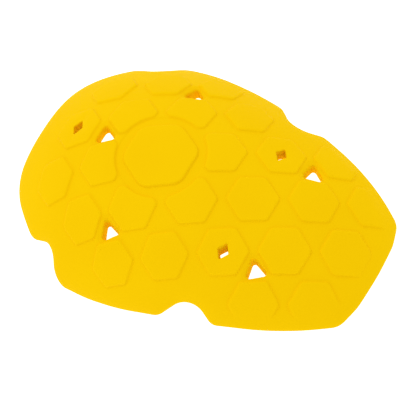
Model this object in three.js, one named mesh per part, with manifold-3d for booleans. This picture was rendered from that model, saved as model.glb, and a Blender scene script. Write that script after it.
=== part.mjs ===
// Shoulder protector: one moulded foam pad, a shallow dome with raised six-sided plates.
// Millimetres, +Z up. The pad rests on its rim, the neck end at -X and the arm end at +X.
//
// The pad is laid out flat first. A flat place is (along, across): along runs down the middle of the
// pad from the rosette towards the arm, across runs to its two sides. layOnDome() then bends a flat
// place and a height over the skin onto the dome.

import * as THREE from "three";
import { mergeVertices } from "three/addons/utils/BufferGeometryUtils.js";
import Module from "manifold-3d";

const wasm = await Module();
wasm.setup();

// The pattern's pitch, from the middle of one plate to the next. It sets the whole flat layout.
const pitch = 31;
const rowStep = pitch * Math.cos(Math.PI / 6);

// Bends of the dome: over the crown, down towards the neck, and across the shoulder
const crownRadius = 245;
const neckRadius = 114;
const acrossRadius = 84;
const crownTop = 0.85 * pitch;
const neckBendStart = -0.15 * pitch;

// Foam thickness, and the band where the skin rolls down to a thinner rim
const skinThickness = 7;
const rimThickness = 4;
const rimBand = 9;
const rimRound = Math.min(1.3, 0.36 * rimThickness);

// Plates
const plateReach = 0.445 * pitch;
const plateCorner = 2.2;
const plateLift = 0.9;
const plateEdge = 1.5;
const plateRoot = 1.6;
const fadeStart = 1.35 * rimBand;
const fadeEnd = 0.5 * rimBand;
const plateKeepIn = 0.25 * rimBand;

// Rosette: a larger plate in a round channel that trims the six plates about it
const rosetteReach = 0.65 * pitch;
const rosetteCorner = 8;
const rosetteLift = 1.1;
const rosetteEdge = 1.8;
const channelReach = 0.75 * pitch;
const channelDepth = 0.4;

// Vents: rounded triangles between plates, and lozenge slots through plates. The pins of the mould
// that make them all stand the same way, tipped by pinTip from square to the crown.
const ventReach = 0.23 * pitch;
const ventCorner = 2.1;
const ventAhead = 1.9;
const ventMouth = -0.85;
const slotSide = 0.165 * pitch;
const slotCorner = 0.6;
const slotAhead = 0.35;
const slotMouth = 0.5;
const pinTip = 0.04;
const cutterSpare = 4;

// Corners of one half of the flat outline, in pitches: along, across, and the radius of its arc
const outlineCorners = [
  [-2.87, 0, 2.03],
  [-3.04, 1.17, 1.08],
  [-2.32, 2.05, 0.35],
  [-1.61, 2.07, 0.26],
  [-1.64, 2.81, 0.39],
  [-0.11, 2.94, 4.16],
  [1.13, 2.56, 0.31],
  [1.55, 1.91, 0.41],
  [2.13, 2.22, 0.22],
  [3.25, 1.72, 5.3],
  [4.03, 1.08, 0.35],
  [4.11, 0.64, 1.02],
  [4.12, 0, 2],
];
const hub = new THREE.Vector2(0.5 * pitch, 0);

// Rows of plates: the row's number, and the plates' places across in pitches
const plateRows = [
  [-2, [-1, 0, 1]],
  [-1, [-1.5, -0.5, 0.5, 1.5]],
  [0, [-2, -1, 1, 2]],
  [1, [-1.5, -0.5, 0.5, 1.5]],
  [2, [-1, 0, 1]],
  [3, [-1.5, -0.5, 0.5, 1.5]],
  [4, [-1, 0, 1]],
];
const slotPlaces = [
  [-2, 0],
  [2, -1],
  [2, 1],
];

// A vent triangle lies a third of a row before the row that it is listed with
const ventPlaces = [
  [-1, 0],
  [0, -1.5],
  [0, 1.5],
  [3, -1],
  [3, 1],
];

// How finely the surfaces are divided
const rimSteps = 108;
const rimSamples = 360;
const topShares = [0.2, 0.4, 0.6, 0.8, 1];
const bandShares = [0.6, 0.3, 0.1];
const underShares = [0.9, 0.7, 0.45, 0.22];
const channelSteps = 30;

// The bend of the crown alone at a distance along, and the whole slope there, in radians
function crownBend(along) {
  return (Math.max(along, neckBendStart) - crownTop) / crownRadius;
}

function slopeAlong(along) {
  return crownBend(along) + Math.min(along - neckBendStart, 0) / neckRadius;
}

// Bend a flat place and a height over the skin onto the dome
function layOnDome(along, across, height) {
  const bendSlope = crownBend(along);
  const slope = slopeAlong(along);
  const ridgeX =
    crownRadius * Math.sin(bendSlope) + neckRadius * (Math.sin(slope) - Math.sin(bendSlope));
  const ridgeZ =
    crownRadius * (Math.cos(bendSlope) - 1) + neckRadius * (Math.cos(slope) - Math.cos(bendSlope));
  const lean = across / acrossRadius;
  const below = acrossRadius - (acrossRadius + height) * Math.cos(lean);
  return [
    ridgeX - below * Math.sin(slope),
    (acrossRadius + height) * Math.sin(lean),
    ridgeZ - below * Math.cos(slope),
  ];
}

// The arc that rounds one corner of a closed flat outline
function cornerArc(corners, i, radius) {
  const corner = new THREE.Vector2(corners[i][0], corners[i][1]);
  const previous = corners.at(i - 1);
  const next = corners[(i + 1) % corners.length];
  const before = new THREE.Vector2(previous[0], previous[1]).sub(corner).normalize();
  const after = new THREE.Vector2(next[0], next[1]).sub(corner).normalize();
  const halfAngle = Math.acos(THREE.MathUtils.clamp(before.dot(after), -1, 1)) / 2;
  const middle = before.clone().add(after).normalize();
  const centre = corner.clone().addScaledVector(middle, radius / Math.sin(halfAngle));
  const tangent = radius / Math.tan(halfAngle);
  const from = corner.clone().addScaledVector(before, tangent).sub(centre).angle();
  const to = corner.clone().addScaledVector(after, tangent).sub(centre).angle();
  return [centre.x, centre.y, radius, from, to, before.cross(after) > 0];
}

// The pad's flat outline, anticlockwise from the middle of the neck end
function padOutline() {
  const half = outlineCorners.map((corner) => corner.map((share) => share * pitch));
  const mirrored = half.map(([along, across, radius]) => [along, -across, radius]);
  const corners = [...mirrored, ...half.slice(1, -1).reverse()];
  const path = new THREE.Path();
  corners.forEach((corner, i) => path.absarc(...cornerArc(corners, i, corner[2])));
  return path.closePath();
}

const outline = padOutline();
const rimPoints = outline.getSpacedPoints(rimSteps).slice(0, -1);
const rimFine = outline.getSpacedPoints(rimSamples).slice(0, -1);

// Distance in from the rim, below zero outside it
function insideRim(place) {
  let nearest = Infinity;
  let inside = false;
  rimFine.forEach((a, i) => {
    const b = rimFine[(i + 1) % rimFine.length];
    const edge = b.clone().sub(a);
    const from = place.clone().sub(a);
    const share = THREE.MathUtils.clamp(from.dot(edge) / edge.lengthSq(), 0, 1);
    nearest = Math.min(nearest, from.addScaledVector(edge, -share).length());
    const spans = a.y > place.y !== b.y > place.y;
    if (spans && place.x < a.x + ((place.y - a.y) / (b.y - a.y)) * (b.x - a.x)) inside = !inside;
  });
  return inside ? nearest : -nearest;
}

// The skin rolls down to the rim over the rim band, as a quarter of an ellipse
function skinHeight(inset) {
  const share = THREE.MathUtils.clamp(1 - inset / rimBand, 0, 1);
  return (rimThickness - skinThickness) * (1 - Math.sqrt(1 - share * share));
}

// How much of a plate's lift is left near the rim, where it ends below the skin
function plateShare(inset) {
  return 1.6 * THREE.MathUtils.smoothstep(inset, fadeEnd, fadeStart) - 0.6;
}

// A closed mesh from rings of equal count, closed at both ends by a single point
function ringMesh(firstPoint, rings, lastPoint) {
  const count = rings[0].length;
  const last = rings.length * count + 1;
  const index = [];
  for (let i = 0; i < count; i += 1) {
    const j = (i + 1) % count;
    index.push(0, 1 + i, 1 + j);
    for (let a = 1; a + count < last; a += count) {
      const b = a + count;
      index.push(a + i, b + i, b + j, a + i, b + j, a + j);
    }
    index.push(last, last - count + j, last - count + i);
  }
  const geometry = new THREE.BufferGeometry();
  const positions = [firstPoint, ...rings.flat(), lastPoint].flat();
  geometry.setAttribute("position", new THREE.Float32BufferAttribute(positions, 3));
  geometry.setIndex(index);
  return geometry;
}

// Hand a closed geometry to the boolean library
function asSolid(geometry) {
  const merged = mergeVertices(geometry, 1e-5);
  const vertProperties = new Float32Array(merged.attributes.position.array);
  const triVerts = new Uint32Array(merged.index.array);
  return new wasm.Manifold(new wasm.Mesh({ numProp: 3, vertProperties, triVerts }));
}

// The pad without its relief: skin, rolled rim and smooth hollow underside
function foamShell() {
  const ringAt = (reachOf, heightOf) =>
    rimPoints.map((rim) => {
      const arm = rim.clone().sub(hub);
      const place = arm.setLength(reachOf(arm.length())).add(hub);
      return layOnDome(place.x, place.y, heightOf(Math.max(insideRim(place), 0)));
    });
  const edgeTop = rimThickness - skinThickness;
  const underside = () => -skinThickness;
  const rings = [
    ...topShares.map((share) => ringAt((reach) => share * (reach - rimBand), skinHeight)),
    ...bandShares.map((share) => ringAt((reach) => reach - share * rimBand, skinHeight)),
    ringAt((reach) => reach - 0.3 * rimRound, () => edgeTop - 0.3 * rimRound),
    ringAt((reach) => reach, () => edgeTop - rimRound),
    ringAt((reach) => reach, () => rimRound - skinThickness),
    ringAt((reach) => reach - rimRound, underside),
    ...underShares.map((share) => ringAt((reach) => share * reach, underside)),
  ];
  const top = layOnDome(hub.x, hub.y, 0);
  return asSolid(ringMesh(top, rings, layOnDome(hub.x, hub.y, -skinThickness)));
}

// A flat shape's outline with each corner rounded, as arms from its middle
function roundedArms(corners, radius, arcSteps) {
  return corners.flatMap((corner, i) => {
    const arc = cornerArc(corners, i, radius);
    return new THREE.EllipseCurve(arc[0], arc[1], arc[2], ...arc.slice(2)).getPoints(arcSteps);
  });
}

function regularArms(sides, reach, turn, radius, arcSteps) {
  const corners = [];
  for (let i = 0; i < sides; i += 1) {
    const angle = turn + (2 * Math.PI * i) / sides;
    corners.push([reach * Math.cos(angle), reach * Math.sin(angle)]);
  }
  return roundedArms(corners, radius, arcSteps);
}

// A raised cap on the skin. Each step of its profile is an inset from the outline and a height over
// the skin. Near the rim the cap keeps inside the pad and ends below the skin.
function raisedCap(centre, arms, profile) {
  const lay = (place, height) => {
    const inset = insideRim(place);
    const share = height > 0 ? plateShare(inset) : 1;
    return layOnDome(place.x, place.y, skinHeight(inset) + share * height);
  };
  const reaches = arms.map((arm) => {
    let reach = arm.length();
    const end = () => centre.clone().add(arm.clone().setLength(reach));
    while (reach > plateEdge && insideRim(end()) < plateKeepIn) reach -= 0.02 * pitch;
    return reach;
  });
  const rings = profile.map(([inset, height]) =>
    arms.map((arm, i) => lay(arm.clone().setLength(reaches[i] - inset).add(centre), height)),
  );
  const top = profile.at(-1)[1];
  return asSolid(ringMesh(lay(centre, top), rings.reverse(), lay(centre, profile[0][1])));
}

// The profile of a soft-edged cap
function capProfile(lift, edge) {
  return [
    [0, -plateRoot],
    [0, 0.35 * lift],
    [0.3 * edge, 0.8 * lift],
    [edge, lift],
  ];
}

function plateCap(centre) {
  const arms = regularArms(6, plateReach, Math.PI / 6, plateCorner, 1);
  return raisedCap(centre, arms, capProfile(plateLift, plateEdge));
}

function rosetteCap() {
  const arms = regularArms(6, rosetteReach, Math.PI / 6, rosetteCorner, 2);
  const innerStep = [0.5 * rosetteReach, rosetteLift];
  return raisedCap(new THREE.Vector2(0, 0), arms, [...capProfile(rosetteLift, rosetteEdge), innerStep]);
}

// A cutter that stands square to the skin, from one height to another
function cutter(centre, arms, low, high) {
  const ring = (height, share) =>
    arms.map((arm) => layOnDome(centre.x + share * arm.x, centre.y + share * arm.y, height));
  const rings = [ring(high, 0.5), ring(high, 1), ring(low, 1), ring(low, 0.5)];
  const top = layOnDome(centre.x, centre.y, high);
  return asSolid(ringMesh(top, rings, layOnDome(centre.x, centre.y, low)));
}

function channelCutter() {
  const round = new THREE.Path().absarc(0, 0, channelReach, 0, 2 * Math.PI);
  const arms = round.getSpacedPoints(channelSteps).slice(0, -1);
  const high = Math.max(plateLift, rosetteLift) + cutterSpare;
  return cutter(new THREE.Vector2(0, 0), arms, -channelDepth, high);
}

// A pin right through the pad. Its outline is laid on the dome at its mouth, and it runs straight
// from there along the mould's draw, which is (x, z) in the dome's own frame.
function pinCutter(centre, arms, mouth) {
  const draw = [Math.sin(pinTip), Math.cos(pinTip)];
  const ring = (rise, share) =>
    arms.map((arm) => {
      const [x, y, z] = layOnDome(centre.x + share * arm.x, centre.y + share * arm.y, mouth);
      return [x + rise * draw[0], y, z + rise * draw[1]];
    });
  const [x, y, z] = layOnDome(centre.x, centre.y, mouth);
  const high = plateLift + cutterSpare;
  const low = -2 * skinThickness - cutterSpare;
  const rings = [ring(high, 0.5), ring(high, 1), ring(low, 1), ring(low, 0.5)];
  const ends = [high, low].map((rise) => [x + rise * draw[0], y, z + rise * draw[1]]);
  return asSolid(ringMesh(ends[0], rings, ends[1]));
}

function ventCutter([row, across]) {
  const centre = new THREE.Vector2((row - 1 / 3) * rowStep + ventAhead, across * pitch);
  return pinCutter(centre, regularArms(3, ventReach, 0, ventCorner, 2), ventMouth);
}

function slotCutter([row, across]) {
  const a = slotSide * Math.sin(Math.PI / 6);
  const b = slotSide * Math.cos(Math.PI / 6);
  const corners = [
    [a, 0],
    [0, b],
    [-a, 0],
    [0, -b],
  ];
  const centre = new THREE.Vector2(row * rowStep + slotAhead, across * pitch);
  return pinCutter(centre, roundedArms(corners, slotCorner, 2), slotMouth);
}

// The whole moulding
function mouldedPad() {
  const plateCaps = plateRows.flatMap(([row, places]) =>
    places.map((across) => plateCap(new THREE.Vector2(row * rowStep, across * pitch))),
  );
  const shell = plateCaps.reduce((solid, cap) => solid.add(cap), foamShell());
  const raised = shell.subtract(channelCutter()).add(rosetteCap());
  const cutters = [...ventPlaces.map(ventCutter), ...slotPlaces.map(slotCutter)];
  const mesh = cutters.reduce((solid, cut) => solid.subtract(cut), raised).getMesh();
  const geometry = new THREE.BufferGeometry();
  geometry.setAttribute("position", new THREE.Float32BufferAttribute(mesh.vertProperties, 3));
  geometry.setIndex(new THREE.Uint32BufferAttribute(mesh.triVerts, 1));
  return geometry;
}

// The turn about Y at which the pad's lowest points on the neck side and on the arm side are level,
// which is how it rests: on its two side lobes and its arm end
function restLean(geometry) {
  const positions = geometry.attributes.position;
  const upAxis = new THREE.Vector3(0, 1, 0);
  const place = new THREE.Vector3();
  let low = 0;
  let high = Math.PI / 4;
  while (high - low > 1e-7) {
    const lean = (low + high) / 2;
    let neckLow = Infinity;
    let armLow = Infinity;
    for (let i = 0; i < positions.count; i += 1) {
      place.fromBufferAttribute(positions, i).applyAxisAngle(upAxis, lean);
      if (place.x < 0) neckLow = Math.min(neckLow, place.z);
      else armLow = Math.min(armLow, place.z);
    }
    if (armLow > neckLow) low = lean;
    else high = lean;
  }
  return low;
}

const padGeometry = mouldedPad();
padGeometry.rotateY(restLean(padGeometry));
padGeometry.computeBoundingBox();
const { min, max } = padGeometry.boundingBox;
padGeometry.translate(-(min.x + max.x) / 2, 0, -min.z);

const foam = new THREE.MeshStandardMaterial({ color: 0xf8ca04, roughness: 0.6, metalness: 0 });
const pad = new THREE.Mesh(padGeometry, foam);
pad.name = "moulded_pad";

const part = new THREE.Group();
part.add(pad);

export default part;
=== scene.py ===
# %% [markdown]
# # A moulded foam shoulder protector
# The real pad is poured as one piece of soft foam: a shallow dome that lies over a shoulder, with
# raised six-sided plates on its outside and a smooth hollow inside. This lesson makes it as a mould
# maker would draw it. The pattern is laid out flat, where its hexagons are regular, and only then
# is the whole sheet bent over the dome.

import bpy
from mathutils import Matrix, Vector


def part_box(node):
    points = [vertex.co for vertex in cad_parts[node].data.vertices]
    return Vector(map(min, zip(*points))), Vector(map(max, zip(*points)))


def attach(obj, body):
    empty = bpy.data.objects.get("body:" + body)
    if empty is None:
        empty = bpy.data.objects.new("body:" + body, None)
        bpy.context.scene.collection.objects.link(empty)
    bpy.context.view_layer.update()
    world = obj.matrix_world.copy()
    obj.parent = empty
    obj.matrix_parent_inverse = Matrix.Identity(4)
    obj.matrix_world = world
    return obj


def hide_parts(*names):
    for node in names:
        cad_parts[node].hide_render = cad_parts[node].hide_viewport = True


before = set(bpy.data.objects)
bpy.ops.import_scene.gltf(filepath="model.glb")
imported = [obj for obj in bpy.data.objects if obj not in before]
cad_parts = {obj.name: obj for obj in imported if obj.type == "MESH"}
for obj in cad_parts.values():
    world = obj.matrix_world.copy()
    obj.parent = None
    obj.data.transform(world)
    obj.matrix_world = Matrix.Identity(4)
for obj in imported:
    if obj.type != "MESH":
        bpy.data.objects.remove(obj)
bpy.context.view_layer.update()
pad_low, pad_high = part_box("moulded_pad")

# %% Tools for the lesson
import math

import bpy
import numpy as np
from mathutils import Matrix, Vector
from mathutils.kdtree import KDTree

MM = 0.001
print("Blender", bpy.app.version_string)

# %% [markdown]
# ## Sizes of the flat layout
# A flat place has two numbers: along runs down the middle of the pad, from the rosette towards the
# arm, and across runs to its two sides. One number, the pitch from plate to plate, sets the whole
# pattern, so the plates, the vents and the outline all keep their places if it changes. Lengths are
# in millimetres until the sheet is finished, because a moulding is thought of in millimetres.

# %% Sizes
pitch = 31
row_step = pitch * math.cos(math.radians(30))

skin_thickness = 7
rim_thickness = 4
rim_band = 9
rim_round = 1.25

plate_reach = 0.445 * pitch
plate_corner = 2.8
plate_lift = 1
plate_edge = 1.7
fade_start = 5.5
fade_end = 12

rosette_reach = 0.67 * pitch
rosette_corner = 8
rosette_lift = 1.05
rosette_edge = 1.9
rosette_crown = 0.25
rosette_crown_reach = 16
channel_reach = 0.765 * pitch
channel_depth = 0.4
channel_edge = 0.8

vent_reach = 0.232 * pitch
vent_corner = 1.6
vent_ahead = 1
vent_inward = 0.19
vent_turn = math.radians(9.8)
vent_lip = 1.8
vent_taper = 0.2
vent_dip = 0.63
vent_dip_reach = 1.6
slot_along = 0.099 * pitch
slot_across = 0.146 * pitch
slot_corner = 0.5
slot_ahead = -0.12
slot_inward = 0.43
slot_lip = 0.75
slot_dip = 0.31
slot_dip_reach = 3.5
slot_taper = 0.42
lower_lip = 0.5

# %% Places of the plates, vents and slots
plate_rows = {
    -2: (-1, 0, 1),
    -1: (-1.5, -0.5, 0.5, 1.5),
    0: (-2, -1, 1, 2),
    1: (-1.5, -0.5, 0.5, 1.5),
    2: (-1, 0, 1),
    3: (-1.5, -0.5, 0.5, 1.5),
    4: (-1, 0, 1),
}
slot_rows = ((-2, 0), (2, -1), (2, 1))
vent_rows = ((-1, 0), (0, -1.5), (0, 1.5), (3, -1), (3, 1))

plate_centres = [(row * row_step, x * pitch) for row, places in plate_rows.items() for x in places]
slot_centres = [
    (row * row_step + slot_ahead, x * pitch - np.sign(x) * slot_inward)
    for row, x in slot_rows
]
vent_centres = [
    ((row - 1 / 3) * row_step + vent_ahead, x * pitch - np.sign(x) * vent_inward)
    for row, x in vent_rows
]
print(len(plate_centres), "plates,", len(vent_centres), "vents,", len(slot_centres), "slots")

# %% [markdown]
# ## Rounded outlines
# Every edge line on the pad, from its whole outline down to a slot, is a polygon with its corners
# rounded by arcs. One helper walks round such a polygon in small steps. For each step it keeps the
# place and the outward direction, because a rim or a lip is a set of lines offset from its outline.

# %% Round the corners of a polygon
def corner_arc(before, corner, after, radius):
    """The arc that rounds one corner: its centre, radius, first angle, turn, and the outward side."""
    back = (before - corner) / np.linalg.norm(before - corner)
    ahead = (after - corner) / np.linalg.norm(after - corner)
    half = math.acos(np.clip(back @ ahead, -1, 1)) / 2
    middle = (back + ahead) / np.linalg.norm(back + ahead)
    centre = corner + middle * radius / math.sin(half)
    first = corner + back * radius / math.tan(half) - centre
    side = 1 if back[0] * ahead[1] < back[1] * ahead[0] else -1
    return centre, radius, math.atan2(first[1], first[0]), side * (math.pi - 2 * half), side


def rounded_outline(corners, step):
    """Places and outward directions round a polygon of (along, across, arc radius), anticlockwise."""
    points = [np.array(corner[:2], float) for corner in corners]
    places = []
    outward = []
    for i, corner in enumerate(corners):
        arc = corner_arc(points[i - 1], points[i], points[(i + 1) % len(points)], corner[2])
        centre, radius, first, turn, side = arc
        count = max(int(abs(turn) * radius / step), 3)
        angles = first + turn * np.linspace(0, 1, count + 1)
        spokes = np.stack((np.cos(angles), np.sin(angles)), axis=1)
        if places:
            straight_steps(places, outward, centre + radius * spokes[0], step)
        places.extend(centre + radius * spokes)
        outward.extend(side * spokes)
    straight_steps(places, outward, places[0], step)
    return np.array(places), np.array(outward)


def straight_steps(places, outward, end, step):
    """Adds the steps of a straight side, from the last place up to its end."""
    start = places[-1]
    count = int(np.linalg.norm(end - start) / step)
    for i in range(1, count):
        places.append(start + (end - start) * i / count)
        outward.append(outward[-1])


def regular_corners(sides, reach, turn, radius, centre):
    """Corners of a regular polygon, each with its arc radius."""
    angles = turn + 2 * math.pi * np.arange(sides) / sides
    return [(centre[0] + reach * math.cos(a), centre[1] + reach * math.sin(a), radius) for a in angles]


# %% The pad's outline
half_outline = (
    (-2.87, 0, 2.03),
    (-3.04, 1.17, 1.08),
    (-2.32, 2.05, 0.35),
    (-1.61, 2.07, 0.26),
    (-1.64, 2.81, 0.39),
    (-0.11, 2.94, 4.16),
    (1.13, 2.56, 0.31),
    (1.55, 1.91, 0.41),
    (2.13, 2.22, 0.22),
    (3.25, 1.72, 5.3),
    (4.03, 1.08, 0.35),
    (4.11, 0.64, 1.02),
    (4.12, 0, 2),
)
near_half = [(a * pitch, -b * pitch, r * pitch) for a, b, r in half_outline]
far_half = [(a * pitch, b * pitch, r * pitch) for a, b, r in half_outline[1:-1]]
rim_step = 0.25
rim_line, rim_outward = rounded_outline(near_half + far_half[::-1], rim_step)
print("outline of", len(rim_line), "steps,", round(np.ptp(rim_line[:, 0]), 1), "mm long laid flat")

# %% [markdown]
# ## Distances from an outline
# How high the foam stands depends on how far a place is from the rim and from the nearest plate's
# edge. A k-d tree finds the nearest step of an outline quickly. The distance is then measured along
# that step's outward direction, so it has a sign: more than zero in the foam, less than zero outside.

# %% Measure from the rim and from the plates
def nearest_steps(line):
    """A search tree over the steps of an outline."""
    tree = KDTree(len(line))
    for i, place in enumerate(line):
        tree.insert((place[0], place[1], 0), i)
    tree.balance()
    return tree


rim_tree = nearest_steps(rim_line)


def rim_inset(places):
    """How far in from the rim each place lies."""
    steps = [rim_tree.find((place[0], place[1], 0))[1] for place in places]
    return np.sum((rim_line[steps] - places[:, :2]) * rim_outward[steps], axis=1)


def polygon_inset(places, centre, sides, reach, corner, facing=0):
    """How far inside a regular polygon with rounded corners each place lies, below zero outside."""
    half_side = math.pi / sides
    arm = places[:, :2] - centre
    turn = np.arctan2(arm[:, 1], arm[:, 0]) - facing
    turn -= 2 * half_side * np.round(turn / (2 * half_side))
    length = np.hypot(arm[:, 0], arm[:, 1])
    core = reach * math.cos(half_side) - corner
    past_side = length * np.cos(turn) - core
    past_end = np.maximum(np.abs(length * np.sin(turn)) - core * math.tan(half_side), 0)
    outside = np.hypot(np.maximum(past_side, 0), past_end)
    return corner - np.where(past_side > 0, outside, past_side)


def slot_inset(places, centre):
    """How far inside a slot's lozenge each place lies, below zero outside it."""
    along = np.abs(places[:, 0] - centre[0]) / slot_along
    across = np.abs(places[:, 1] - centre[1]) / slot_across
    return (1 - along - across) * slot_along * slot_across / math.hypot(slot_along, slot_across)


# %% [markdown]
# ## Heights of the moulded outside
# A moulding has no sharp steps: each plate rises from a tight root, rounds over a soft shoulder and
# ends in a flat top. The functions below give that height for any flat place. Sculpting by a
# function suits a pattern like this one, because all the plates come out alike and the shape can be
# changed by one number.

# %% Soft steps
def smooth_step(value, low, high):
    """0 below low, 1 above high, and an even S between them."""
    share = np.clip((value - low) / (high - low), 0, 1)
    return share * share * (3 - 2 * share)


def soft_shoulder(inset, edge, root=0.25):
    """A plate's profile: a small fillet at its root, a steep side and a wide rounded shoulder."""
    share = np.clip((inset + root) / (edge + root), 0, 1)
    rise = 1 - (1 - share) ** 2.6
    return rise * smooth_step(share, -0.05, 0.34)


# %% Skin, plates and rosette
def skin_height(inset):
    """The skin is level inside the rim band and rolls down to the rim as a quarter of an ellipse."""
    share = np.clip(1 - inset / rim_band, 0, 1)
    return (rim_thickness - skin_thickness) * (1 - np.sqrt(1 - share * share))


def plate_inset(places):
    """How far inside the nearest plate each place lies, with the round channel cut away."""
    insets = [polygon_inset(places, centre, 6, plate_reach, plate_corner) for centre in plate_centres]
    from_channel = np.hypot(places[:, 0], places[:, 1]) - channel_reach
    plate = np.max(insets, axis=0)
    blend = 1.2
    mix = np.clip(0.5 + 0.5 * (plate - from_channel) / blend, 0, 1)
    return plate * (1 - mix) + from_channel * mix - blend * mix * (1 - mix)


def rosette_inset(places):
    """How far inside the rosette each place lies."""
    return polygon_inset(places, (0, 0), 6, rosette_reach, rosette_corner)


def hole_dip(places):
    """How far the foam is drawn down round the vents and the slots."""
    dip = np.zeros(len(places))
    root = 0.4
    for centre in vent_centres:
        facing = math.pi - np.sign(centre[1]) * vent_turn
        inset = polygon_inset(places, centre, 3, vent_reach, vent_corner, facing)
        dip = np.maximum(dip, vent_dip * smooth_step(inset, -vent_dip_reach - vent_lip, root - vent_lip))
    for centre in slot_centres:
        inset = slot_inset(places, centre)
        dip = np.maximum(dip, slot_dip * smooth_step(inset, -slot_dip_reach - slot_lip, root - slot_lip))
    return dip


def outside_height(places):
    """Height of the pad's outside over the plain skin, at flat places."""
    inset = rim_inset(places)
    plates = plate_lift * soft_shoulder(plate_inset(places), plate_edge)
    plates *= smooth_step(inset, fade_start, fade_end)
    middle = np.hypot(places[:, 0], places[:, 1])
    channel = -channel_depth * smooth_step(channel_reach - middle, 0, channel_edge)
    rosette = (rosette_lift + channel_depth) * soft_shoulder(rosette_inset(places), rosette_edge)
    rosette += rosette_crown * (1 - np.clip(middle / rosette_crown_reach, 0, 1) ** 2)
    rosette *= middle < channel_reach
    return skin_height(inset) + plates + channel + rosette - hole_dip(places)


sample = np.array([(0, 0, 0), (row_step, pitch / 2, 0), (row_step * 2 / 3, 0, 0)], float)
print("heights of rosette, plate and skin:", np.round(outside_height(sample), 2))

# %% [markdown]
# ## Where the sheet ends
# The rim and the walls of the vents and slots are built as rings that run round an edge. A seam is
# such an edge. All the seams are kept in one list, with the place on the edge, the direction out of
# the foam there, and how far short of the edge the flat sheet stops to leave room for a rounded lip.

# %% Collect the seams
RIM, VENT, SLOT = 0, 1, 2
rim_room = 1.6
lip_room = 0.4
sheet_margin = {RIM: rim_room, VENT: vent_lip + lip_room, SLOT: slot_lip + lip_room}
hole_step = 0.1

seam_places = []
seam_outward = []
seam_kinds = []
seam_next = []


def add_seam(line, outward, kind):
    """Adds one closed edge to the list of seams."""
    first = sum(len(places) for places in seam_places)
    seam_places.append(line)
    seam_outward.append(outward)
    seam_kinds.append(np.full(len(line), kind))
    seam_next.append(first + (np.arange(len(line)) + 1) % len(line))


add_seam(rim_line, rim_outward, RIM)
for centre in vent_centres:
    turn = -np.sign(centre[1]) * vent_turn
    vent_corners = regular_corners(3, vent_reach, turn, vent_corner, centre)
    vent_line, vent_outward = rounded_outline(vent_corners, hole_step)
    add_seam(vent_line, -vent_outward, VENT)
for centre in slot_centres:
    slot_corners = [(slot_along, 0), (0, slot_across), (-slot_along, 0), (0, -slot_across)]
    shifted = [(centre[0] + x, centre[1] + y, slot_corner) for x, y in slot_corners]
    slot_line, slot_outward = rounded_outline(shifted, hole_step)
    add_seam(slot_line, -slot_outward, SLOT)

seam_places = np.concatenate(seam_places)
seam_outward = np.concatenate(seam_outward)
seam_kinds = np.concatenate(seam_kinds)
seam_next = np.concatenate(seam_next)
margins = np.array([sheet_margin[kind] for kind in seam_kinds])
sheet_edge = seam_places - seam_outward * margins[:, None]
edge_tree = nearest_steps(sheet_edge)
print("seams of", len(seam_places), "steps")

# %% Find a place's seat on a seam
def edge_room(places):
    """How far inside the sheet's edge each place lies, and the nearest step of a seam."""
    steps = np.array([edge_tree.find((place[0], place[1], 0))[1] for place in places])
    return np.sum((sheet_edge[steps] - places[:, :2]) * seam_outward[steps], axis=1), steps


def seam_seats(places):
    """Each place's seat on the nearest seam: the step before it, and the share to the next one."""
    steps = edge_room(places)[1]
    previous = np.empty(len(seam_next), int)
    previous[seam_next] = np.arange(len(seam_next))
    seats = steps.astype(float)
    best = np.full(len(places), np.inf)
    for start in (steps, previous[steps]):
        side = sheet_edge[seam_next[start]] - sheet_edge[start]
        gap = places[:, :2] - sheet_edge[start]
        share = np.clip(np.sum(gap * side, axis=1) / np.sum(side * side, axis=1), 0, 0.999)
        miss = np.linalg.norm(gap - share[:, None] * side, axis=1)
        seats = np.where(miss < best, start + share, seats)
        best = np.minimum(best, miss)
    return seats


def at_seats(seats):
    """The places on the seams, their outward directions and kinds, at these seats."""
    start = np.floor(seats).astype(int)
    share = (seats - start)[:, None]
    places = seam_places[start] * (1 - share) + seam_places[seam_next[start]] * share
    outward = seam_outward[start] * (1 - share) + seam_outward[seam_next[start]] * share
    outward /= np.linalg.norm(outward, axis=1)[:, None]
    return places, outward, seam_kinds[start]


# %% [markdown]
# ## Short helpers for editing
# An operator works on what is selected, so each step below picks its faces or points first. Arrays
# are read and written in one go, which is much quicker than one point at a time.

# %% Select and move points
def take_up(piece):
    """Makes one piece the only selected and active one."""
    bpy.ops.object.select_all(action="DESELECT")
    piece.select_set(True)
    bpy.context.view_layer.objects.active = piece


def open_with(piece, kind, chosen):
    """Opens a piece for editing with the chosen points, edges or faces picked."""
    mesh = piece.data
    groups = {"points": mesh.vertices, "edges": mesh.edges, "faces": mesh.polygons}
    for group in groups.values():
        group.foreach_set("select", np.zeros(len(group), bool))
    groups[kind].foreach_set("select", chosen)
    bpy.context.tool_settings.mesh_select_mode = [name == kind for name in groups]
    bpy.ops.object.mode_set(mode="EDIT")


def points_of(piece):
    """The places of all the points of a piece."""
    places = np.empty(3 * len(piece.data.vertices), np.float32)
    piece.data.vertices.foreach_get("co", places)
    return places.reshape(-1, 3).astype(float)


def set_points(piece, places):
    """Moves the points of a piece to new places."""
    piece.data.vertices.foreach_set("co", places.astype(np.float32).ravel())
    piece.data.update()


def triangles_of(piece):
    """The three points and the three edges of each triangle."""
    mesh = piece.data
    points = np.empty(len(mesh.loops), np.int32)
    edges = np.empty(len(mesh.loops), np.int32)
    mesh.loops.foreach_get("vertex_index", points)
    mesh.loops.foreach_get("edge_index", edges)
    return points.reshape(-1, 3), edges.reshape(-1, 3)


def edge_ends(piece):
    """The two points at the ends of each edge."""
    ends = np.empty(2 * len(piece.data.edges), np.int32)
    piece.data.edges.foreach_get("vertices", ends)
    return ends.reshape(-1, 2)


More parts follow.
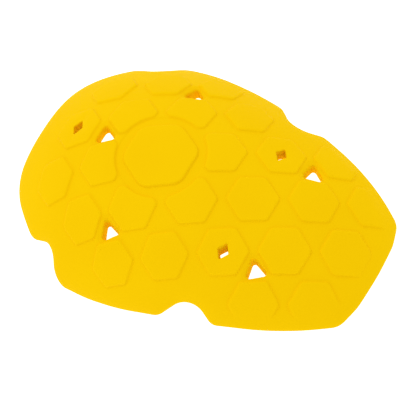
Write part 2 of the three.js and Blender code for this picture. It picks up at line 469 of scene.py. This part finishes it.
# %% [markdown]
# ## A flat sheet of even triangles
# The sheet starts as a circle of six triangles, which is a hexagon. Cutting its sides into equal
# parts gives a net whose lines run in the same three directions as the sides of the plates, and the
# net is sized so that a line falls on each plate's edge. A square grid would cross four of a
# plate's six sides at a slant and leave them ragged.

# %% Lay out the net
net_step = pitch / 18
first_cuts = 11
second_cuts = 6
net_reach = (first_cuts + 1) * (second_cuts + 1) * net_step
bpy.ops.object.select_all(action="DESELECT")
bpy.ops.mesh.primitive_circle_add(
    vertices=6, radius=net_reach, fill_type="TRIFAN", location=(row_step, 0, 0)
)
sheet = bpy.context.active_object
sheet.name = "pad_outside"
bpy.ops.object.transform_apply(location=True, rotation=True, scale=True)
bpy.ops.object.mode_set(mode="EDIT")
bpy.ops.mesh.select_all(action="SELECT")
bpy.ops.mesh.subdivide(number_cuts=first_cuts)
bpy.ops.mesh.subdivide(number_cuts=second_cuts)
bpy.ops.object.mode_set(mode="OBJECT")
print("net of", len(sheet.data.polygons), "triangles, step", round(net_step, 3), "mm")

# %% Halve the triangles where more detail comes
def halve(piece, chosen):
    """Cuts the edges of the chosen triangles in half."""
    open_with(piece, "faces", chosen)
    bpy.ops.mesh.subdivide(number_cuts=1)
    bpy.ops.mesh.select_all(action="SELECT")
    bpy.ops.mesh.quads_convert_to_tris(quad_method="SHORTEST_DIAGONAL")
    bpy.ops.object.mode_set(mode="OBJECT")


def triangle_middles(piece):
    """The middle of each triangle."""
    return points_of(piece)[triangles_of(piece)[0]].mean(axis=1)


fine_by_rim = 4
fine_by_hole = 3.4
finest_by_hole = 1.3
room, steps = edge_room(triangle_middles(sheet))
by_hole = seam_kinds[steps] != RIM
halve(sheet, (room > -2) & (room < np.where(by_hole, fine_by_hole, fine_by_rim)))
room, steps = edge_room(triangle_middles(sheet))
halve(sheet, (room > -1) & (room < finest_by_hole) & (seam_kinds[steps] != RIM))
print("net of", len(sheet.data.polygons), "triangles")

# %% [markdown]
# ## Cut the sheet to its outline
# Faces outside the seams are deleted, which leaves a stepped edge. Its points then slide onto the
# smooth edge line and spread out evenly along it, and the triangles beside them are relaxed with
# the smooth operator. Cutting with a Boolean would be quicker to write, but it leaves long thin
# triangles along the cut, and those show as creases in a soft satin surface.

# %% Delete what lies outside
room, steps = edge_room(triangle_middles(sheet))
open_with(sheet, "faces", room < 0)
bpy.ops.mesh.delete(type="FACE")
bpy.ops.object.mode_set(mode="OBJECT")
trimmed = 1
while trimmed:
    edges = triangles_of(sheet)[1]
    uses = np.bincount(edges.ravel(), minlength=len(sheet.data.edges))
    ears = (uses[edges] == 1).sum(axis=1) > 1
    trimmed = int(ears.sum())
    if trimmed:
        open_with(sheet, "faces", ears)
        bpy.ops.mesh.delete(type="FACE")
        bpy.ops.object.mode_set(mode="OBJECT")
print("sheet of", len(sheet.data.polygons), "triangles")

# %% Slide the stepped edge onto the edge line
def open_edges(piece):
    """The edges that belong to one face only."""
    edges = triangles_of(piece)[1]
    return np.bincount(edges.ravel(), minlength=len(piece.data.edges)) == 1


spread_rounds = 15
rim_ends = edge_ends(sheet)[open_edges(sheet)]
edge_points = np.unique(rim_ends)
places = points_of(sheet)
for spread in range(spread_rounds + 1):
    if spread:
        pulled = np.zeros_like(places)
        np.add.at(pulled, rim_ends[:, 0], places[rim_ends[:, 1]])
        np.add.at(pulled, rim_ends[:, 1], places[rim_ends[:, 0]])
        places[edge_points] = 0.5 * places[edge_points] + 0.25 * pulled[edge_points]
    seats = seam_seats(places[edge_points])
    on_line, outward, kinds = at_seats(seats)
    margin = np.array([sheet_margin[kind] for kind in kinds])
    places[edge_points, :2] = on_line - outward * margin[:, None]
set_points(sheet, places)
seam_layer = sheet.data.attributes.new("seam_seat", "FLOAT", "POINT")
layer_values = np.full(len(places), -1, np.float32)
layer_values[edge_points] = seats
seam_layer.data.foreach_set("value", layer_values)
print(len(edge_points), "points on", len(rim_ends), "open edges")

# %% Relax the triangles beside the edge
relaxed_band = 3.2
room = edge_room(places)[0]
near_edge = room < relaxed_band
near_edge[edge_points] = False
open_with(sheet, "points", near_edge)
bpy.ops.mesh.vertices_smooth(factor=0.5, repeat=12)
bpy.ops.object.mode_set(mode="OBJECT")
corners = points_of(sheet)[triangles_of(sheet)[0]]
spans = np.cross(corners[:, 1] - corners[:, 0], corners[:, 2] - corners[:, 0])[:, 2]
print("smallest triangle", round(spans.min() / 2, 4), "mm2, largest", round(spans.max() / 2, 3), "mm2")

# %% [markdown]
# ## A copy for the smooth inside
# The inside of the real pad is plain, so a copy of the sheet is kept for it before the outside gets
# more triangles. Both sheets have the same points along their edges, which is what lets the walls
# between them close without a gap.

# %% Keep a copy
take_up(sheet)
bpy.ops.object.duplicate()
inside = bpy.context.active_object
inside.name = "pad_inside"
low = points_of(inside)
low[:, 2] = -skin_thickness
set_points(inside, low)
open_with(inside, "faces", np.ones(len(inside.data.polygons), bool))
bpy.ops.mesh.flip_normals()
bpy.ops.object.mode_set(mode="OBJECT")
print("inside sheet of", len(inside.data.polygons), "triangles")

# %% Raise the outside
def widest_edge(piece):
    """The longest edge of each triangle."""
    corners = points_of(piece)[triangles_of(piece)[0]]
    sides = np.linalg.norm(corners - np.roll(corners, 1, axis=1), axis=2)
    return sides.max(axis=1)


def step_distance(places):
    """Distance to the nearest edge of a plate, of the rosette or of its channel."""
    middle = np.hypot(places[:, 0], places[:, 1])
    near_rosette = np.abs(rosette_inset(places))
    near_channel = np.abs(middle - channel_reach)
    plates = np.abs(plate_inset(places) - 0.4)
    return np.minimum(np.minimum(plates, near_rosette), near_channel)


fine_bands = ((3, 1.2), (1.3, 0.6))
take_up(sheet)
for reach, longest in fine_bands:
    middles = triangle_middles(sheet)
    edges = triangles_of(sheet)[1]
    inner = ~(open_edges(sheet)[edges].any(axis=1))
    raised = rim_inset(middles) > fade_start - 1
    halve(sheet, inner & raised & (step_distance(middles) < reach) & (widest_edge(sheet) > longest))
flat = points_of(sheet)
flat[:, 2] = outside_height(flat)
set_points(sheet, flat)
print("outside sheet of", len(sheet.data.polygons), "triangles")

# %% [markdown]
# ## Rim, lips and walls
# The two sheets become one piece. The outside's open edges are then extruded ring by ring: over the
# rounded lip, down the wall and round the lower lip, until the last ring meets the inside sheet.
# Each ring has a distance back from the seam and a height, for the rim and for a hole. Halving
# triangles beside whole ones leaves a doubled triangle here and there. Such a triangle has an edge
# that no other face shares, so it is easy to find and take off once the piece is closed.

# %% Rings from the outside to the inside
def quarter(radius, angles):
    """Steps over a quarter round: distance back from the edge, and drop."""
    turns = np.radians(angles)
    return [(radius * (1 - math.sin(turn)), radius * (1 - math.cos(turn))) for turn in turns]


edge_top = rim_thickness - skin_thickness
rim_rings = [(back, float(skin_height(np.array(back)))) for back in (1.1, 0.7, 0.4, 0.2, 0.07, 0)]
rim_rings += [(0, edge_top - 0.7), (0, edge_top - 1.5), (0, rim_round - skin_thickness)]
rim_rings += [(back, drop - skin_thickness) for back, drop in quarter(rim_round, (60, 30, 0))]
rim_rings += [(sheet_margin[RIM], -skin_thickness)]


def hole_rings(upper_lip, taper, margin):
    """Rings of a hole: distance back from the seam, drop, and whether it is from the outside."""
    rings = [(back, drop, 1) for back, drop in quarter(upper_lip, (0, 22, 45, 68, 90))]
    wall = skin_thickness - upper_lip - lower_lip
    rings += [(-0.3 * taper, upper_lip + 0.3 * wall, 1), (-0.7 * taper, upper_lip + 0.65 * wall, 1)]
    rings += [(back - taper, drop, 0) for back, drop in quarter(lower_lip, (90, 68, 45, 22, 0))]
    return rings + [(margin, 0, 0)]


rings_of = {
    VENT: hole_rings(vent_lip, vent_taper, sheet_margin[VENT]),
    SLOT: hole_rings(slot_lip, slot_taper, sheet_margin[SLOT]),
}
print(len(rim_rings), "rings for the rim,", len(rings_of[VENT]), "for a hole")


def ring_places(seats, ring):
    """The places of one ring at these seats."""
    on_line, outward, kinds = at_seats(seats)
    places = np.zeros((len(seats), 3))
    for kind in (RIM, VENT, SLOT):
        here = kinds == kind
        back, drop, from_top = (*rim_rings[ring], 0) if kind == RIM else rings_of[kind][ring]
        places[here, :2] = on_line[here] - outward[here] * back
        if from_top:
            places[here, 2] = outside_height(places[here]) - drop
        else:
            places[here, 2] = drop if kind == RIM else drop - skin_thickness
    return places


# %% Extrude the walls and close them
take_up(sheet)
inside.select_set(True)
bpy.ops.object.join()
pad = bpy.context.active_object
pad.name = "foam_pad"
heights = points_of(pad)[:, 2]
above_inside = 1 - skin_thickness
upper = heights[edge_ends(pad)].min(axis=1) > above_inside
chosen = open_edges(pad) & upper
for ring in range(len(rim_rings)):
    open_with(pad, "edges", chosen)
    bpy.ops.mesh.extrude_edges_move()
    bpy.ops.object.mode_set(mode="OBJECT")
    fresh = np.empty(len(pad.data.vertices), bool)
    pad.data.vertices.foreach_get("select", fresh)
    chosen = np.empty(len(pad.data.edges), bool)
    pad.data.edges.foreach_get("select", chosen)
    seats = np.empty(len(pad.data.vertices), np.float32)
    pad.data.attributes["seam_seat"].data.foreach_get("value", seats)
    places = points_of(pad)
    places[fresh] = ring_places(seats[fresh].astype(float), ring)
    set_points(pad, places)
print("piece of", len(pad.data.polygons), "faces before it is closed")

# %% Close it and turn its faces outwards
same_place = 0.01
bpy.ops.object.mode_set(mode="EDIT")
bpy.ops.mesh.select_all(action="SELECT")
bpy.ops.mesh.remove_doubles(threshold=same_place)
bpy.ops.mesh.quads_convert_to_tris(quad_method="SHORTEST_DIAGONAL")
bpy.ops.object.mode_set(mode="OBJECT")
spare = open_edges(pad)[triangles_of(pad)[1]].any(axis=1)
open_with(pad, "faces", spare)
bpy.ops.mesh.delete(type="FACE")
bpy.ops.mesh.select_all(action="SELECT")
bpy.ops.mesh.normals_make_consistent(inside=False)
bpy.ops.object.mode_set(mode="OBJECT")
pad.data.attributes.remove(pad.data.attributes["seam_seat"])
print(int(spare.sum()), "doubled triangles taken off")
print("closed piece of", len(pad.data.polygons), "triangles,", int(open_edges(pad).sum()), "open edges")

# %% [markdown]
# ## Lean the walls the way the mould opens
# The two halves of a mould part along one straight line, so the pins that make the holes all stand
# the same way and cannot follow the slope of the dome. Seen in the flat layout their walls lean.
# Foam near a hole slides by its depth times that lean, and the slide dies out a little way off.

# %% Lean the hole walls
crown_radius = 245
neck_radius = 114
across_radius = 84
crown_top = 0.85 * pitch
neck_bend_start = -0.15 * pitch
mould_lean = -0.092
side_lean = 1.07
lean_start = 1.5
lean_reach = 12
hole_reach = 8


def slope_along(along):
    """The slope of the ridge line at a distance along it, in radians."""
    bend = (np.maximum(along, neck_bend_start) - crown_top) / crown_radius
    return bend + np.minimum(along - neck_bend_start, 0) / neck_radius


flat = points_of(pad)
hole_steps = np.flatnonzero(seam_kinds != RIM)
for centre in vent_centres + slot_centres:
    arm = flat[:, :2] - centre
    beside = [i for i in hole_steps if np.linalg.norm(seam_places[i] - centre) < hole_reach]
    beside_tree = nearest_steps(seam_places[beside])
    close = np.flatnonzero(np.hypot(arm[:, 0], arm[:, 1]) < lean_reach + hole_reach)
    gaps = np.array([beside_tree.find((flat[i, 0], flat[i, 1], 0))[2] for i in close])
    fade = 1 - smooth_step(gaps, lean_start, lean_reach)
    forward = math.tan(slope_along(centre[0]) - mould_lean)
    sideways = side_lean * math.tan(centre[1] / across_radius)
    drift = np.array([forward, sideways])
    mouth = -vent_dip if centre in vent_centres else plate_lift - slot_dip
    depth = np.maximum(mouth - flat[close, 2], 0)
    flat[close, :2] += (depth * fade)[:, None] * drift
    print("walls at", np.round(centre, 1), "lean by", np.round(drift, 2), "per mm of depth")
set_points(pad, flat)

# %% [markdown]
# ## Bend it over the dome
# The dome is a ridge line that bends gently over the crown and down the arm, and more tightly
# towards the neck. Across the shoulder it bends by a third radius. Each flat place goes to its spot
# on that surface, and its height goes straight out from it, so the foam keeps its thickness.

# %% Bend
rest_lean = math.radians(9.152)


def lay_on_dome(flat):
    """Flat places and heights, laid on the dome."""
    along, across, height = flat.T
    bend = (np.maximum(along, neck_bend_start) - crown_top) / crown_radius
    slope = slope_along(along)
    ridge_x = crown_radius * np.sin(bend) + neck_radius * (np.sin(slope) - np.sin(bend))
    ridge_z = crown_radius * (np.cos(bend) - 1) + neck_radius * (np.cos(slope) - np.cos(bend))
    lean = across / across_radius
    below = across_radius - (across_radius + height) * np.cos(lean)
    side = (across_radius + height) * np.sin(lean)
    return np.stack((ridge_x - below * np.sin(slope), side, ridge_z - below * np.cos(slope)), axis=1)


flat = points_of(pad)
laid = lay_on_dome(flat)
set_points(pad, laid)
print("bent piece is", np.round(np.ptp(laid, axis=0), 1), "mm")

# %% Set it down as it rests
take_up(pad)
pad.rotation_euler = (0, rest_lean, 0)
bpy.ops.object.transform_apply(location=True, rotation=True, scale=True)
pad.scale = (MM, MM, MM)
bpy.ops.object.transform_apply(location=True, rotation=True, scale=True)
places = points_of(pad)
low, high = places.min(axis=0), places.max(axis=0)
centre_x = (pad_low.x + pad_high.x) / 2
pad.location = (centre_x - (low[0] + high[0]) / 2, 0, pad_low.z - low[2])
bpy.ops.object.transform_apply(location=True, rotation=True, scale=True)
bpy.ops.object.shade_smooth()
print("at rest, in mm:", np.round(1000 * (high - low), 2))

# %% [markdown]
# ## Painted highlight and shade on the plates
# The colour is a little different in places: it is painted lighter along the shoulders of the plates
# and the rosette, a painted highlight, and darker at the plates' roots, a painted shade in the grooves.
# Both follow the shape, so they are worked out from the flat layout and kept on the points. The walls
# of the holes formed against plain pins, so they are picked out here too, and get the plainer foam of
# the inside later on.

# %% Store the marks
def store_mark(name, values):
    """Keeps one number for each point, for the material to read."""
    mark = pad.data.attributes.new(name, "FLOAT", "POINT")
    mark.data.foreach_set("value", np.clip(values, 0, 1).astype(np.float32))
    print("mark", name, "covers", int((values > 0.5).sum()), "points")


def band(inset, middle, width):
    """A soft band along an edge: 1 at its middle, and fading to both sides."""
    return np.exp(-(((inset - middle) / width) ** 2))


outer = flat[:, 2] > outside_height(flat) - 0.3
in_plate = plate_inset(flat)
off_rim = smooth_step(rim_inset(flat), fade_start, fade_end)
# shoulder: where a painted highlight lightens the rounded edges of the plates and the rosette. root:
# where painted shade darkens the grooves at the plates' feet.
shoulder = np.maximum(band(in_plate, 0.9, 0.8) * off_rim, band(rosette_inset(flat), 1.1, 0.9))
root = band(in_plate, -0.25, 0.6) * off_rim
store_mark("shoulder", shoulder * outer)
store_mark("root", root * outer)

# %% Pick out the walls of the holes
bore_reach = 12
below_skin = 0.5
above_base = 0.3
to_holes = [np.linalg.norm(flat[:, :2] - centre, axis=1) for centre in vent_centres + slot_centres]
bore = (flat[:, 2] < outside_height(flat) - below_skin) & (flat[:, 2] > above_base - skin_thickness)
bore &= np.min(to_holes, axis=0) < bore_reach
print(int(bore.sum()), "points on the walls of the holes")

# %% [markdown]
# ## The foam's finish
# Foam skin is satin and slightly uneven: fine closed cells give it a grain, and its colour clouds a
# little from place to place. Each effect is a node group, so both foam materials can use it at
# their own strength. The groups put out only a height or a colour, and the shader stays outside.

# %% A helper for node groups
def new_group(name, inputs, outputs):
    """A shader node group with named sockets: (name, socket type, first value)."""
    group = bpy.data.node_groups.new(name, "ShaderNodeTree")
    for title, kind, value in inputs:
        socket = group.interface.new_socket(name=title, in_out="INPUT", socket_type=kind)
        socket.default_value = value
    for title, kind in outputs:
        group.interface.new_socket(name=title, in_out="OUTPUT", socket_type=kind)
    start = group.nodes.new("NodeGroupInput")
    end = group.nodes.new("NodeGroupOutput")
    return group, start, end


def add_node(tree, kind, **settings):
    """Adds a node and sets its fields or its input values by name."""
    node = tree.nodes.new(kind)
    for name, value in settings.items():
        if hasattr(node, name):
            setattr(node, name, value)
        else:
            node.inputs[name.replace("_", " ").capitalize()].default_value = value
    return node


# %% Closed-cell grain
grain, grain_in, grain_out = new_group(
    "Closed-cell grain",
    [("Place", "NodeSocketVector", (0, 0, 0)), ("Cell size", "NodeSocketFloat", 0.0006)],
    [("Height", "NodeSocketFloat")],
)
per_metre = add_node(grain, "ShaderNodeMath", operation="DIVIDE")
per_metre.inputs[0].default_value = 1
grain.links.new(grain_in.outputs["Cell size"], per_metre.inputs[1])
cells = add_node(grain, "ShaderNodeTexVoronoi", feature="SMOOTH_F1", Smoothness=0.6)
grain.links.new(grain_in.outputs["Place"], cells.inputs["Vector"])
grain.links.new(per_metre.outputs[0], cells.inputs["Scale"])
ripple = add_node(grain, "ShaderNodeTexNoise", Detail=3, Roughness=0.55)
half_scale = add_node(grain, "ShaderNodeMath", operation="MULTIPLY")
half_scale.inputs[1].default_value = 0.35
grain.links.new(per_metre.outputs[0], half_scale.inputs[0])
grain.links.new(grain_in.outputs["Place"], ripple.inputs["Vector"])
grain.links.new(half_scale.outputs[0], ripple.inputs["Scale"])
mixed = add_node(grain, "ShaderNodeMix", data_type="FLOAT")
mixed.inputs["Factor"].default_value = 0.45
grain.links.new(cells.outputs["Distance"], mixed.inputs["A"])
grain.links.new(ripple.outputs["Fac"], mixed.inputs["B"])
grain.links.new(mixed.outputs["Result"], grain_out.inputs["Height"])
print("node group:", grain.name)

# %% Colour clouds
clouds, clouds_in, clouds_out = new_group(
    "Colour clouds",
    [
        ("Place", "NodeSocketVector", (0, 0, 0)),
        ("Base", "NodeSocketColor", (0.94, 0.59, 0.001, 1)),
        ("Deep", "NodeSocketColor", (0.9, 0.5, 0.001, 1)),
        ("Strength", "NodeSocketFloat", 0.3),
    ],
    [("Color", "NodeSocketColor")],
)
wide = add_node(clouds, "ShaderNodeTexNoise", Scale=28, Detail=4, Roughness=0.5)
clouds.links.new(clouds_in.outputs["Place"], wide.inputs["Vector"])
shaped = add_node(clouds, "ShaderNodeMapRange", interpolation_type="SMOOTHSTEP")
shaped.inputs["From Min"].default_value = 0.35
shaped.inputs["From Max"].default_value = 0.65
clouds.links.new(wide.outputs["Fac"], shaped.inputs["Value"])
weight = add_node(clouds, "ShaderNodeMath", operation="MULTIPLY")
clouds.links.new(shaped.outputs["Result"], weight.inputs[0])
clouds.links.new(clouds_in.outputs["Strength"], weight.inputs[1])
tint = add_node(clouds, "ShaderNodeMix", data_type="RGBA")
clouds.links.new(weight.outputs[0], tint.inputs["Factor"])
clouds.links.new(clouds_in.outputs["Base"], tint.inputs[6])
clouds.links.new(clouds_in.outputs["Deep"], tint.inputs[7])
clouds.links.new(tint.outputs[2], clouds_out.inputs["Color"])
print("node group:", clouds.name)

# %% Painted highlight and shade as a tint
marked, marked_in, marked_out = new_group(
    "Painted highlight and shade",
    [
        ("Color", "NodeSocketColor", (0.94, 0.59, 0.001, 1)),
        ("Painted highlight", "NodeSocketColor", (0.955, 0.615, 0.001, 1)),
        ("Depth", "NodeSocketColor", (0.88, 0.5, 0.001, 1)),
        ("Shoulder", "NodeSocketFloat", 0),
        ("Root", "NodeSocketFloat", 0),
    ],
    [("Color", "NodeSocketColor")],
)
# The group lightens the colour where the painted highlight goes and darkens it where the painted shade
# goes.
lighter = add_node(marked, "ShaderNodeMix", data_type="RGBA")
marked.links.new(marked_in.outputs["Shoulder"], lighter.inputs["Factor"])
marked.links.new(marked_in.outputs["Color"], lighter.inputs[6])
marked.links.new(marked_in.outputs["Painted highlight"], lighter.inputs[7])
deeper = add_node(marked, "ShaderNodeMix", data_type="RGBA")
marked.links.new(marked_in.outputs["Root"], deeper.inputs["Factor"])
marked.links.new(lighter.outputs[2], deeper.inputs[6])
marked.links.new(marked_in.outputs["Depth"], deeper.inputs[7])
marked.links.new(deeper.outputs[2], marked_out.inputs["Color"])
print("node group:", marked.name)

# %% [markdown]
# ## Two foam materials
# The outside is the face that the mould polished, so it is the smoother of the two. The inside and
# the walls of the holes are the same foam with a coarser grain and a more matt skin, and their colour
# is painted a shade lighter, painted light that brightens the shaded walls of the holes. A little light
# also goes into them, which keeps the narrow holes from looking dark. A Principled shader makes
# both, with its gloss set on its own sockets.

# %% Make the foam
def foam_material(name, base, deep, cell_size, bump, rough_low, rough_high, cloud_strength, through):
    """A satin foam skin with grain, colour clouds, and the painted highlight and shade of the plates."""
    material = bpy.data.materials.new(name)
    material.use_nodes = True
    tree = material.node_tree
    shader = tree.nodes["Principled BSDF"]
    shader.inputs["IOR"].default_value = 1.45
    shader.inputs["Specular IOR Level"].default_value = 0.01
    shader.inputs["Specular Tint"].default_value = (1, 0.82, 0.2, 1)
    shader.inputs["Subsurface Weight"].default_value = through
    shader.inputs["Subsurface Radius"].default_value = (1, 0.65, 0.05)
    shader.inputs["Subsurface Scale"].default_value = 2 * MM
    place = add_node(tree, "ShaderNodeTexCoord")
    fine = add_node(tree, "ShaderNodeGroup")
    fine.node_tree = grain
    fine.inputs["Cell size"].default_value = cell_size
    cloudy = add_node(tree, "ShaderNodeGroup")
    cloudy.node_tree = clouds
    cloudy.inputs["Base"].default_value = base
    cloudy.inputs["Deep"].default_value = deep
    cloudy.inputs["Strength"].default_value = cloud_strength
    painted_edges = add_node(tree, "ShaderNodeGroup")
    painted_edges.node_tree = marked
    tree.links.new(place.outputs["Object"], fine.inputs["Place"])
    tree.links.new(place.outputs["Object"], cloudy.inputs["Place"])
    tree.links.new(cloudy.outputs["Color"], painted_edges.inputs["Color"])
    # The shoulder mark brings in the painted highlight, the root mark the painted shade.
    for mark, share in (("shoulder", 0.2), ("root", 0.2)):
        read = add_node(tree, "ShaderNodeAttribute", attribute_name=mark)
        scaled = add_node(tree, "ShaderNodeMath", operation="MULTIPLY")
        scaled.inputs[1].default_value = share
        tree.links.new(read.outputs["Fac"], scaled.inputs[0])
        tree.links.new(scaled.outputs[0], painted_edges.inputs[mark.capitalize()])
    tree.links.new(painted_edges.outputs["Color"], shader.inputs["Base Color"])
    rough = add_node(tree, "ShaderNodeMapRange")
    rough.inputs["To Min"].default_value = rough_low
    rough.inputs["To Max"].default_value = rough_high
    tree.links.new(fine.outputs["Height"], rough.inputs["Value"])
    tree.links.new(rough.outputs["Result"], shader.inputs["Roughness"])
    relief = add_node(tree, "ShaderNodeBump")
    relief.inputs["Strength"].default_value = bump
    relief.inputs["Distance"].default_value = 0.00012
    tree.links.new(fine.outputs["Height"], relief.inputs["Height"])
    tree.links.new(relief.outputs["Normal"], shader.inputs["Normal"])
    print("material", name)
    return material


foam_outside = foam_material(
    "foam_outside",
    base=(0.935, 0.59, 0.0012, 1),
    deep=(0.92, 0.565, 0.0012, 1),
    cell_size=0.0007,
    bump=0.35,
    rough_low=0.5,
    rough_high=0.68,
    cloud_strength=0.5,
    through=0,
)
# Its colours are a shade lighter than the outside's: painted light that brightens the shaded walls of
# the holes.
foam_inside = foam_material(
    "foam_inside",
    base=(0.95, 0.6, 0.0012, 1),
    deep=(0.93, 0.57, 0.0012, 1),
    cell_size=0.0011,
    bump=0.5,
    rough_low=0.55,
    rough_high=0.75,
    cloud_strength=0.7,
    through=0.3,
)

# %% Give each face its foam
pad.data.materials.clear()
pad.data.materials.append(foam_outside)
pad.data.materials.append(foam_inside)
face_points = triangles_of(pad)[0]
face_heights = flat[face_points, 2].mean(axis=1)
in_hole = bore[face_points].all(axis=1)
inside_top = 0.5 - skin_thickness
slots_of_faces = ((face_heights < inside_top) | in_hole).astype(np.int32)
pad.data.polygons.foreach_set("material_index", slots_of_faces)
pad.data.update()
print(int(slots_of_faces.sum()), "faces inside,", int((slots_of_faces == 0).sum()), "outside")

# %% Hand the pad to the frame
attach(pad, "root")
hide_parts("moulded_pad")

# %% [markdown]
# ## Studio
# The photograph was taken on a white light table with soft light from all round, so it has almost
# no shadow and white shows through the vents. The floor here is a pale sheet that glows a little of
# its own, the surroundings are an even white, and one large lamp brings out the plates' edges.

# %% Floor
floor_radius = 4
bpy.ops.object.select_all(action="DESELECT")
bpy.ops.mesh.primitive_circle_add(vertices=96, radius=floor_radius, fill_type="NGON", location=(0, 0, 0))
floor = bpy.context.active_object
floor.name = "studio_floor"
floor_paint = bpy.data.materials.new("light_table")
floor_paint.use_nodes = True
floor_shader = floor_paint.node_tree.nodes["Principled BSDF"]
floor_shader.inputs["Base Color"].default_value = (0.5, 0.5, 0.5, 1)
floor_shader.inputs["Roughness"].default_value = 0.9
floor_shader.inputs["Specular IOR Level"].default_value = 0.1
floor_shader.inputs["Emission Color"].default_value = (1, 1, 1, 1)
eye_ray = add_node(floor_paint.node_tree, "ShaderNodeLightPath")
glow = add_node(floor_paint.node_tree, "ShaderNodeMapRange")
glow.inputs["To Min"].default_value = 0.8
glow.inputs["To Max"].default_value = 1.2
floor_paint.node_tree.links.new(eye_ray.outputs["Is Camera Ray"], glow.inputs["Value"])
floor_paint.node_tree.links.new(glow.outputs["Result"], floor_shader.inputs["Emission Strength"])
floor.data.materials.append(floor_paint)
print("floor", 2 * floor_radius, "m across")

# %% Soft lamp and white surroundings
def soft_light(name, place, size, power):
    """A large square light that faces the pad."""
    lamp = bpy.data.lights.new(name, "AREA")
    lamp.size = size
    lamp.energy = power
    light = bpy.data.objects.new(name, lamp)
    bpy.context.scene.collection.objects.link(light)
    light.location = place
    light.rotation_mode = "QUATERNION"
    light.rotation_quaternion = (Vector((0, 0, 0.02)) - Vector(place)).to_track_quat("-Z", "Y")
    print("light", name, power, "W")


soft_light("key", (-0.6, 0.05, 1.5), 0.8, 5)

world = bpy.data.worlds.new("studio_world")
world.use_nodes = True
world.node_tree.nodes["Background"].inputs["Color"].default_value = (1, 1, 1, 1)
world.node_tree.nodes["Background"].inputs["Strength"].default_value = 0.85
bpy.context.scene.world = world
bpy.context.scene.view_settings.view_transform = "Standard"
bpy.context.scene.view_settings.look = "None"

# %% [markdown]
# ## Camera
# The plates lie in a regular pattern, so their corners in the photograph give the camera's place,
# turn and lens: it looks down from one side, turned a little, through a long lens that keeps the
# hexagons almost free of perspective. The focal length and the picture's width are in the same
# units, the picture's own small squares, so their ratio gives the lens for any sensor.

# %% Set up the camera
azimuth = math.radians(48.864)
elevation = math.radians(58.198)
roll = math.radians(-21.834)
distance = 1045.15 * MM
sensor_width = 36
picture_width = 420
focal_length = 2045.68

to_camera = Vector((
    math.sin(azimuth) * math.cos(elevation),
    -math.cos(azimuth) * math.cos(elevation),
    math.sin(elevation),
))
level_right = Vector((math.cos(azimuth), math.sin(azimuth), 0))
level_up = to_camera.cross(level_right)
target = Vector((0, 0, 24 * MM)) + 0.551 * MM * level_right - 11.412 * MM * level_up
camera_right = level_right * math.cos(roll) + level_up * math.sin(roll)
camera_up = level_up * math.cos(roll) - level_right * math.sin(roll)

camera_data = bpy.data.cameras.new("camera")
camera_data.sensor_width = sensor_width
camera_data.lens = sensor_width * focal_length / picture_width
camera_data.clip_start = 0.05
camera_data.clip_end = 20
camera = bpy.data.objects.new("camera", camera_data)
bpy.context.scene.collection.objects.link(camera)
turned = Matrix((camera_right, camera_up, to_camera)).transposed().to_4x4()
camera.matrix_world = Matrix.Translation(target + to_camera * distance) @ turned
bpy.context.scene.camera = camera
print("lens", round(camera_data.lens, 1), "mm, at", [round(c, 3) for c in camera.location])
